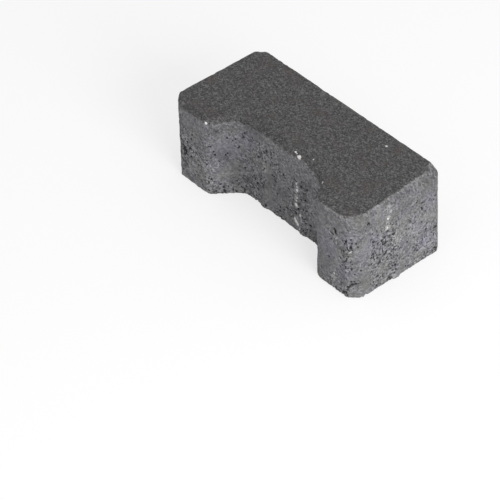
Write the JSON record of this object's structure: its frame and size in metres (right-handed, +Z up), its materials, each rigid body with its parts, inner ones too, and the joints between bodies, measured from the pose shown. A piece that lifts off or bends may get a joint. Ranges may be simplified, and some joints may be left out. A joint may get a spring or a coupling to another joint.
{
  "type": "paving stone",
  "caption": "Concrete paving stone with one straight side and, opposite it, a recess with sloping cheeks that interlocks with the next row; spacer nibs keep the joints open.",
  "frame": {"origin": "middle of the underside, on the bed that the stone lies on", "axes": "+X along the stone's length, +Y to its straight back, away from the recess, +Z up through the wearing face"},
  "size_m": [0.2, 0.088, 0.07],
  "materials": {
    "pressed_concrete": "matte"
  },
  "bodies": {
    "root": {"paving_stone": "pressed_concrete"}
  },
  "joints": []
}
